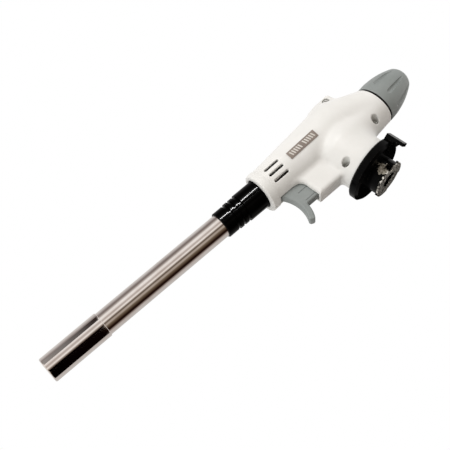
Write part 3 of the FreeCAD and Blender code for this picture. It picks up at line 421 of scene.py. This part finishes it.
class Nodes:
    """A short way to write a material's node tree."""

    def __init__(self, name):
        self.material = bpy.data.materials.new(name)
        self.material.use_nodes = True
        self.tree = self.material.node_tree
        self.tree.nodes.clear()
        self.shader = self.tree.nodes.new("ShaderNodeBsdfPrincipled")
        output = self.tree.nodes.new("ShaderNodeOutputMaterial")
        self.tree.links.new(self.shader.outputs[0], output.inputs[0])
        self.place = self.tree.nodes.new("ShaderNodeTexCoord").outputs["Object"]

    def link(self, source, target):
        self.tree.links.new(source, target)

    def fill(self, socket, value):
        if isinstance(value, bpy.types.NodeSocket):
            self.link(value, socket)
        else:
            socket.default_value = value

    def math(self, operation, *values, clamp=False):
        node = self.tree.nodes.new("ShaderNodeMath")
        node.operation = operation
        node.use_clamp = clamp
        for socket, value in zip(node.inputs, values):
            self.fill(socket, value)
        return node.outputs[0]

    def vector(self, operation, *values):
        node = self.tree.nodes.new("ShaderNodeVectorMath")
        node.operation = operation
        for socket, value in zip(node.inputs, values):
            self.fill(socket, value)
        return node.outputs["Value"] if operation in ("DOT_PRODUCT", "LENGTH") else node.outputs[0]

    def noise(self, scale, detail, place=None):
        node = self.tree.nodes.new("ShaderNodeTexNoise")
        node.inputs["Scale"].default_value = scale
        node.inputs["Detail"].default_value = detail
        node.inputs["Roughness"].default_value = 0.55
        self.link(place or self.place, node.inputs["Vector"])
        return node.outputs["Fac"]

    def spread(self, value, low, high, to_low=0.0, to_high=1.0):
        node = self.tree.nodes.new("ShaderNodeMapRange")
        for name, number in (("From Min", low), ("From Max", high), ("To Min", to_low),
                             ("To Max", to_high)):
            node.inputs[name].default_value = number
        self.fill(node.inputs["Value"], value)
        return node.outputs["Result"]

    def mix(self, share, first, second):
        node = self.tree.nodes.new("ShaderNodeMix")
        node.data_type = "RGBA"
        self.fill(node.inputs[0], share)
        for socket, value in ((node.inputs[6], first), (node.inputs[7], second)):
            self.fill(socket, value if isinstance(value, bpy.types.NodeSocket) else (*value, 1.0))
        return node.outputs[2]

    def stretched(self, along, ratio):
        """Object coordinates pulled out by ratio along a direction, for drawn and brushed lines."""
        axis = Vector(along).normalized()
        second = axis.cross(Vector((0, 1, 0))).normalized()
        third = axis.cross(second)
        parts = []
        for way, scale in ((axis, 1.0 / ratio), (second, 1.0), (third, 1.0)):
            parts.append(self.vector("DOT_PRODUCT", self.place, tuple(way * scale)))
        node = self.tree.nodes.new("ShaderNodeCombineXYZ")
        for socket, value in zip(node.inputs, parts):
            self.link(value, socket)
        return node.outputs[0]

    def edges(self, radius):
        """1 along convex and concave edges, 0 on open faces."""
        bevel = self.tree.nodes.new("ShaderNodeBevel")
        bevel.samples = 4
        bevel.inputs["Radius"].default_value = radius
        geometry = self.tree.nodes.new("ShaderNodeNewGeometry")
        same = self.vector("DOT_PRODUCT", bevel.outputs[0], geometry.outputs["Normal"])
        return self.spread(same, 0.995, 0.85)

    def bump(self, height, strength, distance):
        node = self.tree.nodes.new("ShaderNodeBump")
        node.inputs["Strength"].default_value = strength
        node.inputs["Distance"].default_value = distance
        self.link(height, node.inputs["Height"])
        return node.outputs[0]

    def finish(self, colour, roughness, normal=None, **settings):
        self.fill(self.shader.inputs["Base Color"],
                  colour if isinstance(colour, bpy.types.NodeSocket) else (*colour, 1.0))
        self.fill(self.shader.inputs["Roughness"], roughness)
        if normal:
            self.link(normal, self.shader.inputs["Normal"])
        for name, value in settings.items():
            if isinstance(value, tuple):
                value = (*value, 1.0)
            self.fill(self.shader.inputs[name.replace("_", " ")], value)
        return self.material


def plastic(name, light, dark, low_rough, high_rough, grain, grain_depth, worn=None,
            painted_gap_shadow=None, **settings):
    """Moulded plastic. worn is the tone of its edges, and between the two given x's it is painted
    black, a painted shadow for a gap.
    """
    n = Nodes(name)
    cloud = n.noise(60.0, 4.0)
    fine = n.noise(grain, 2.0)
    colour = n.mix(n.spread(cloud, 0.35, 0.65), light, dark)
    if worn:
        scuff = n.math("MULTIPLY", n.edges(0.0005), n.spread(n.noise(900.0, 3.0), 0.42, 0.6))
        colour = n.mix(scuff, colour, worn)
    if painted_gap_shadow:
        # painted shadow: between the two x's the colour is painted near black, standing in for the
        # shade in the gap
        split = n.tree.nodes.new("ShaderNodeSeparateXYZ")
        n.link(n.tree.nodes.new("ShaderNodeNewGeometry").outputs["Position"], split.inputs[0])
        x = split.outputs[0]
        inside = n.math("MULTIPLY", n.math("GREATER_THAN", x, painted_gap_shadow[0]),
                        n.math("LESS_THAN", x, painted_gap_shadow[1]))
        colour = n.mix(inside, colour, (0.004, 0.004, 0.004))
    rough = n.spread(n.noise(220.0, 4.0), 0.3, 0.7, low_rough, high_rough)
    height = n.math("ADD", fine, n.math("MULTIPLY", n.noise(300.0, 2.0), 2.0))
    return n.finish(colour, rough, n.bump(height, 0.5, grain_depth), **settings)


def drawn_steel(name, along, light, dark, low_rough, high_rough):
    """Bright steel with fine lines along one direction and a few small stains."""
    n = Nodes(name)
    lines = n.noise(2600.0, 3.0, n.stretched(along, 60.0))
    broad = n.noise(90.0, 3.0)
    spots = n.spread(n.noise(1500.0, 2.0), 0.66, 0.72)
    colour = n.mix(n.spread(broad, 0.35, 0.65), light, dark)
    colour = n.mix(n.math("MULTIPLY", spots, 0.25), colour, (0.20, 0.17, 0.15))
    rough = n.math("ADD", n.spread(lines, 0.3, 0.7, low_rough, high_rough),
                   n.spread(broad, 0.4, 0.7, 0.0, 0.015))
    normal = n.bump(lines, 0.05, 0.000004)
    return n.finish(colour, rough, normal, Metallic=1.0)


def turned_metal(name, light, dark, low_rough, high_rough):
    n = Nodes(name)
    fine = n.noise(1400.0, 3.0)
    colour = n.mix(n.spread(n.noise(160.0, 3.0), 0.35, 0.65), light, dark)
    rough = n.spread(fine, 0.3, 0.7, low_rough, high_rough)
    return n.finish(colour, rough, n.bump(fine, 0.25, 0.00003), Metallic=1.0)


def base_paint():
    """Gloss black paint, worn through to bare zinc on the socket's end and in its notch."""
    n = Nodes("painted_die_casting")
    split = n.tree.nodes.new("ShaderNodeSeparateXYZ")
    n.link(n.place, split.inputs[0])
    x, y, z = split.outputs
    ragged = n.math("MULTIPLY", n.math("SUBTRACT", n.noise(420.0, 5.0), 0.5), 0.006)
    radius = n.math("SQRT", n.math("ADD", n.math("MULTIPLY", x, x), n.math("MULTIPLY", y, y)))
    end_face = n.math("LESS_THAN", n.math("ADD", z, ragged), 0.0007)
    left_on = n.spread(n.noise(650.0, 5.0), 0.40, 0.46)
    end_face = n.math("MULTIPLY", end_face, left_on)
    away = n.vector("LENGTH", n.vector("SUBTRACT", n.place, (0.0010, 0.0125, 0.0038)))
    patch = n.math("LESS_THAN", n.math("ADD", away, n.math("MULTIPLY", ragged, 1.6)), 0.0046)
    boss = n.math("LESS_THAN", radius, 0.0142)
    worn = n.math("MULTIPLY", n.math("MAXIMUM", end_face, patch), boss)
    chips = n.math("MULTIPLY", n.edges(0.0004), n.spread(n.noise(1300.0, 3.0), 0.57, 0.63))
    bare = n.math("MAXIMUM", worn, n.math("MULTIPLY", chips, 0.6), clamp=True)
    specks = n.spread(n.noise(1500.0, 4.0), 0.60, 0.66)
    bright = n.mix(n.math("LESS_THAN", z, 0.0012), (0.34, 0.32, 0.27), (0.95, 0.93, 0.86))
    metal = n.mix(n.spread(n.noise(500.0, 4.0), 0.35, 0.65), bright, (0.09, 0.08, 0.06))
    metal = n.mix(specks, metal, (0.03, 0.03, 0.028))
    paint = n.mix(n.spread(n.noise(200.0, 3.0), 0.4, 0.7), (0.0008, 0.0008, 0.0009),
                  (0.0025, 0.0025, 0.0025))
    colour = n.mix(bare, paint, metal)
    rough = n.mix(bare, n.mix(n.noise(350.0, 3.0), (0.16,) * 3, (0.3,) * 3), (0.45,) * 3)
    height = n.math("ADD", n.math("MULTIPLY", n.noise(700.0, 4.0), 0.6),
                    n.math("MULTIPLY", bare, n.noise(1600.0, 4.0)))
    n.fill(n.shader.inputs["Metallic"], n.math("MULTIPLY", bare, n.math("SUBTRACT", 1.0, specks)))
    return n.finish(colour, rough, n.bump(height, 0.35, 0.00006), Specular_IOR_Level=0.04)


def rubber(name, colour, other, low_rough, high_rough):
    """Rubber, lead insulation and glazed ceramic: two near tones and a fine grain."""
    n = Nodes(name)
    tone = n.mix(n.spread(n.noise(400.0, 3.0), 0.35, 0.65), colour, other)
    rough = n.spread(n.noise(800.0, 3.0), 0.3, 0.7, low_rough, high_rough)
    return n.finish(tone, rough, n.bump(n.noise(2500.0, 3.0), 0.3, 0.00004))


def make_materials():
    barrel = tuple(BARREL)
    return {
        "housing_plastic": plastic("housing_plastic", (0.80, 0.805, 0.785), (0.76, 0.765, 0.74),
                                   0.36, 0.5, 2600.0, 0.00003, Specular_IOR_Level=0.45),
        # the grey knob is painted black just behind the housing's rim, a painted shadow in the gap
        "grey_plastic": plastic("grey_plastic", (0.255, 0.282, 0.276), (0.225, 0.252, 0.246),
                                0.36, 0.52, 2400.0, 0.00004, worn=(0.30, 0.32, 0.315),
                                painted_gap_shadow=(RIM_X * MM - PAINTED_GAP_SHADOW, 0.0)),
        "collar_plastic": plastic("collar_plastic", (0.0004, 0.0004, 0.0005), (0.001,) * 3,
                                  0.07, 0.12, 1500.0, 0.000002, worn=(0.006, 0.006, 0.006),
                                  Specular_IOR_Level=0.03),
        "black_plastic": plastic("black_plastic", (0.012, 0.012, 0.012), (0.02, 0.02, 0.02),
                                 0.4, 0.6, 2000.0, 0.00004),
        "base_metal": base_paint(),
        "stainless": drawn_steel("stainless", barrel, (0.70, 0.665, 0.64), (0.63, 0.585, 0.555),
                                 0.035, 0.075),
        "brass": turned_metal("brass", (0.72, 0.52, 0.22), (0.58, 0.40, 0.16), 0.22, 0.36),
        "bronze": turned_metal("bronze", (0.50, 0.36, 0.20), (0.38, 0.26, 0.14), 0.5, 0.7),
        "zinc_steel": turned_metal("zinc_steel", (0.62, 0.62, 0.60), (0.50, 0.50, 0.48), 0.42, 0.55),
        "seal_rubber": rubber("seal_rubber", (0.012, 0.012, 0.012), (0.02, 0.02, 0.02), 0.55, 0.75),
        "lead_rubber": rubber("lead_rubber", (0.16, 0.018, 0.012), (0.11, 0.012, 0.01), 0.4, 0.6),
        "ceramic": rubber("ceramic", (0.74, 0.70, 0.62), (0.66, 0.62, 0.54), 0.2, 0.35),
        "label_plastic": plastic("label_plastic", (0.20, 0.165, 0.14), (0.24, 0.20, 0.17),
                                 0.35, 0.5, 2600.0, 0.00003),
        "label_cream": plastic("label_cream", (0.66, 0.64, 0.60), (0.58, 0.56, 0.51),
                               0.4, 0.55, 2600.0, 0.00002),
    }


def dress(materials, new_pieces):
    for name, node in nodes.items():
        node.data.materials.clear()
        node.data.materials.append(materials[SLOT_OF[name]])
    for piece, slot in new_pieces:
        piece.data.materials.append(materials[slot])


# ---- light ----------------------------------------------------------------------------------

def in_view(right, up, back):
    """A direction given along the camera's axes."""
    return (CAMERA_RIGHT * right + CAMERA_UP * up + CAMERA_BACK * back).normalized()


TARGET = Vector((0.06, 0.0, 0.06))
# the two directions square to the barrel: to the viewer, and to the upper left of the picture
AXIS = Vector(BARREL)
TOWARD = (CAMERA_BACK - AXIS * CAMERA_BACK.dot(AXIS)).normalized()
UPWARD = AXIS.cross(TOWARD)
DRIFT = -CAMERA_BACK.dot(AXIS)          # along the barrel, of what the viewer sees in its sides


def round_barrel(angle):
    """A direction square to the barrel, at an angle from the viewer's side."""
    turn = math.radians(angle)
    return TOWARD * math.cos(turn) + UPWARD * math.sin(turn)


def mirrored(angle):
    """Where a ray from the camera goes when the barrel's side throws it off at this angle."""
    return round_barrel(angle) * math.sqrt(1 - DRIFT * DRIFT) + AXIS * DRIFT


def dark_sheet(sheet, tone, n=None):
    """Only reflections show this sheet, as the tone and nothing else."""
    n = n or Nodes(sheet.name)
    sheet.data.materials.append(n.finish((0, 0, 0), 1.0, Specular_IOR_Level=0.0,
                                         Emission_Strength=1.0, Emission_Color=tone))
    for rays in ("camera", "diffuse", "transmission", "volume_scatter", "shadow"):
        setattr(sheet, "visible_" + rays, False)
    sheet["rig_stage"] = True


CARD_DISTANCE = 120.0
CARD_REACHES = (133.5, 195.0)           # beside the sleeve, shifted to where it mirrors them
CARD_STEPS = 12


def card(name, angles, tones):
    """A bent card beside the barrel that only reflections show, with a tone at each end."""
    verts, faces = [], []
    for number in range(CARD_STEPS + 1):
        angle = angles[0] + (angles[1] - angles[0]) * number / CARD_STEPS
        for reach in CARD_REACHES:
            verts.append(MOUTH + BARREL * reach + np.array(round_barrel(angle)) * CARD_DISTANCE)
    for number in range(CARD_STEPS):
        faces.append((2 * number, 2 * number + 1, 2 * number + 3, 2 * number + 2))
    sheet = mesh_object(name, verts, faces)
    n = Nodes(name)
    along = n.vector("DOT_PRODUCT", n.vector("SUBTRACT", n.place, tuple(MOUTH * MM)), tuple(BARREL))
    tone = n.mix(n.spread(along, CARD_REACHES[0] * MM, CARD_REACHES[1] * MM), *tones)
    dark_sheet(sheet, tone, n)


def area_light(name, direction, distance, size, power, receivers, shine_only=False):
    """A square lamp that lights one group of pieces; shine_only leaves just its mirrored spot."""
    data = bpy.data.lights.new(name, "AREA")
    data.shape = "SQUARE"
    data.size = size
    data.energy = power
    lamp = bpy.data.objects.new(name, data)
    scene.collection.objects.link(lamp)
    lamp.location = TARGET + direction * distance
    lamp.rotation_euler = direction.to_track_quat("Z", "Y").to_euler()
    lamp.visible_camera = False
    lamp.visible_diffuse = not shine_only
    lamp.light_linking.receiver_collection = receivers


# brightness of the room round the barrel's axis: degrees from the viewer's side, then a colour
ROOM = (
    (-180, (0.70, 0.69, 0.68)), (-128, (0.72, 0.69, 0.67)), (-100, (0.70, 0.66, 0.64)),
    (-86, (0.34, 0.28, 0.25)), (-76, (0.025, 0.008, 0.005)), (-62, (0.015, 0.006, 0.004)),
    (-53, (0.07, 0.04, 0.025)), (-40, (0.17, 0.125, 0.085)), (-32, (0.26, 0.21, 0.155)),
    (-25, (0.56, 0.48, 0.42)), (-15, (0.57, 0.50, 0.44)), (-8, (0.19, 0.15, 0.11)),
    (0, (0.22, 0.17, 0.14)), (8, (0.85, 0.79, 0.74)), (14, (1.25, 1.21, 1.17)),
    (23, (0.76, 0.69, 0.65)), (33, (0.62, 0.55, 0.51)), (42, (1.05, 1.0, 0.97)),
    (56, (1.22, 1.19, 1.17)), (66, (0.80, 0.76, 0.73)), (78, (0.38, 0.33, 0.31)),
    (92, (0.25, 0.21, 0.20)), (108, (0.50, 0.46, 0.45)), (124, (0.76, 0.73, 0.72)),
    (150, (0.86, 0.84, 0.82)),
)
ROOM_ENDS = (1.1, 1.08, 1.06)           # towards the two ends of the barrel
ENDS_FROM, ENDS_FULL = 0.62, 0.72       # how far along the barrel a look points as they fade in


def backdrop_card():
    """A black sheet behind the cartridge end, which only the disc and boss can mirror."""
    middle, half = np.array((-28.0, -90.0, -30.0)), 70.0
    right, up = (np.array(way) * half for way in (CAMERA_RIGHT, CAMERA_UP))
    corners = [middle - right - up, middle + right - up, middle + right + up, middle - right + up]
    sheet = mesh_object("backdrop_card", corners, [(0, 1, 2, 3)])
    dark_sheet(sheet, (0, 0, 0))


def room_light():
    """The striped room that the torch mirrors; the camera itself sees it plain white."""
    world = bpy.data.worlds.new("room")
    scene.world = world
    world.use_nodes = True
    tree = world.node_tree
    tree.nodes.clear()
    look = tree.nodes.new("ShaderNodeTexCoord").outputs["Generated"]
    parts = []
    for way in (UPWARD, TOWARD, AXIS):
        dot = tree.nodes.new("ShaderNodeVectorMath")
        dot.operation = "DOT_PRODUCT"
        tree.links.new(look, dot.inputs[0])
        dot.inputs[1].default_value = way
        parts.append(dot.outputs["Value"])
    angle = tree.nodes.new("ShaderNodeMath")
    angle.operation = "ARCTAN2"
    for part, socket in zip(parts[:2], angle.inputs):
        tree.links.new(part, socket)
    share = tree.nodes.new("ShaderNodeMapRange")
    share.inputs["From Min"].default_value = -math.pi
    share.inputs["From Max"].default_value = math.pi
    tree.links.new(angle.outputs[0], share.inputs["Value"])
    ramp = tree.nodes.new("ShaderNodeValToRGB")
    stops = ramp.color_ramp.elements
    while len(stops) > 1:
        stops.remove(stops[-1])
    for number, (degrees, colour) in enumerate(ROOM):
        place = degrees / 360 + 0.5
        stop = stops[0] if number == 0 else stops.new(place)
        stop.position = place
        stop.color = (*colour, 1.0)
    tree.links.new(share.outputs["Result"], ramp.inputs["Fac"])
    lengthwise = tree.nodes.new("ShaderNodeMath")
    lengthwise.operation = "ABSOLUTE"
    tree.links.new(parts[2], lengthwise.inputs[0])
    ends = tree.nodes.new("ShaderNodeMapRange")
    ends.inputs["From Min"].default_value = ENDS_FROM
    ends.inputs["From Max"].default_value = ENDS_FULL
    tree.links.new(lengthwise.outputs[0], ends.inputs["Value"])
    whole = tree.nodes.new("ShaderNodeMix")
    whole.data_type = "RGBA"
    tree.links.new(ends.outputs["Result"], whole.inputs[0])
    tree.links.new(ramp.outputs["Color"], whole.inputs[6])
    whole.inputs[7].default_value = (*ROOM_ENDS, 1.0)
    banded = tree.nodes.new("ShaderNodeBackground")
    tree.links.new(whole.outputs[2], banded.inputs["Color"])
    banded.inputs["Strength"].default_value = 1.0
    plain = tree.nodes.new("ShaderNodeBackground")
    plain.inputs["Color"].default_value = (1, 1, 1, 1)
    rays = tree.nodes.new("ShaderNodeLightPath")
    mix = tree.nodes.new("ShaderNodeMixShader")
    tree.links.new(rays.outputs["Is Camera Ray"], mix.inputs[0])
    tree.links.new(banded.outputs[0], mix.inputs[1])
    tree.links.new(plain.outputs[0], mix.inputs[2])
    output = tree.nodes.new("ShaderNodeOutputWorld")
    tree.links.new(mix.outputs[0], output.inputs[0])


def light_groups():
    """The matte pieces, the glossy black collar and the painted base: each has its own lamps."""
    soft = bpy.data.collections.new("softly_lit")
    gloss = bpy.data.collections.new("gloss_lit")
    painted = bpy.data.collections.new("paint_lit")
    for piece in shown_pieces():
        slot = SLOT_OF.get(piece.name, piece.get("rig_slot"))
        if slot == "collar_plastic":
            gloss.objects.link(piece)
        elif slot == "base_metal":
            painted.objects.link(piece)
        elif slot != "stainless":
            soft.objects.link(piece)
    return soft, gloss, painted


def add_floor():
    size, height = 6.0, -0.36
    mesh = bpy.data.meshes.new("floor")
    mesh.from_pydata([(-size, -size, height), (size, -size, height), (size, size, height),
                      (-size, size, height)], [], [(0, 1, 2, 3)])
    floor = bpy.data.objects.new("floor", mesh)
    scene.collection.objects.link(floor)
    n = Nodes("floor_paint")
    tone = n.mix(n.noise(3.0, 2.0), (0.86, 0.86, 0.85), (0.83, 0.83, 0.82))
    mesh.materials.append(n.finish(tone, 0.7))
    floor.visible_glossy = False
    floor.visible_diffuse = False
    floor.visible_shadow = False
    floor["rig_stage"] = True
    return floor


# ---- putting it together --------------------------------------------------------------------

add_camera()
halves = build_housing()
bars = build_label_bars()
materials = make_materials()
dress(materials, [(half, "housing_plastic") for half in halves] + [(bars, "label_cream")])
floor = add_floor()
soft, gloss, painted = light_groups()
soft.objects.link(floor)
room_light()
area_light("key", in_view(-0.60, 0.75, 0.65), 0.9, 0.5, 3.5, soft)
area_light("fill", in_view(0.85, -0.15, 0.7), 1.0, 0.6, 0.25, soft)
area_light("low_fill", in_view(-0.8, -0.6, 0.5), 1.0, 0.5, 0.5, soft)
area_light("paint_light", in_view(-0.8, 0.5, 0.55), 0.8, 0.16, 6.0, painted, shine_only=True)
area_light("streak", mirrored(47.0), 0.8, 0.10, 45.0, gloss, shine_only=True)
area_light("thin_streak", mirrored(21.0), 0.8, 0.03, 0.12, gloss, shine_only=True)
card("black_card", (-93.0, -5.0), ((0.004, 0.001, 0.001), (0, 0, 0)))
card("grey_card", (52.0, 90.0), ((0.02, 0.008, 0.006), (0.46, 0.44, 0.43)))
backdrop_card()
scene.view_settings.view_transform = "Standard"
scene.view_settings.look = "None"
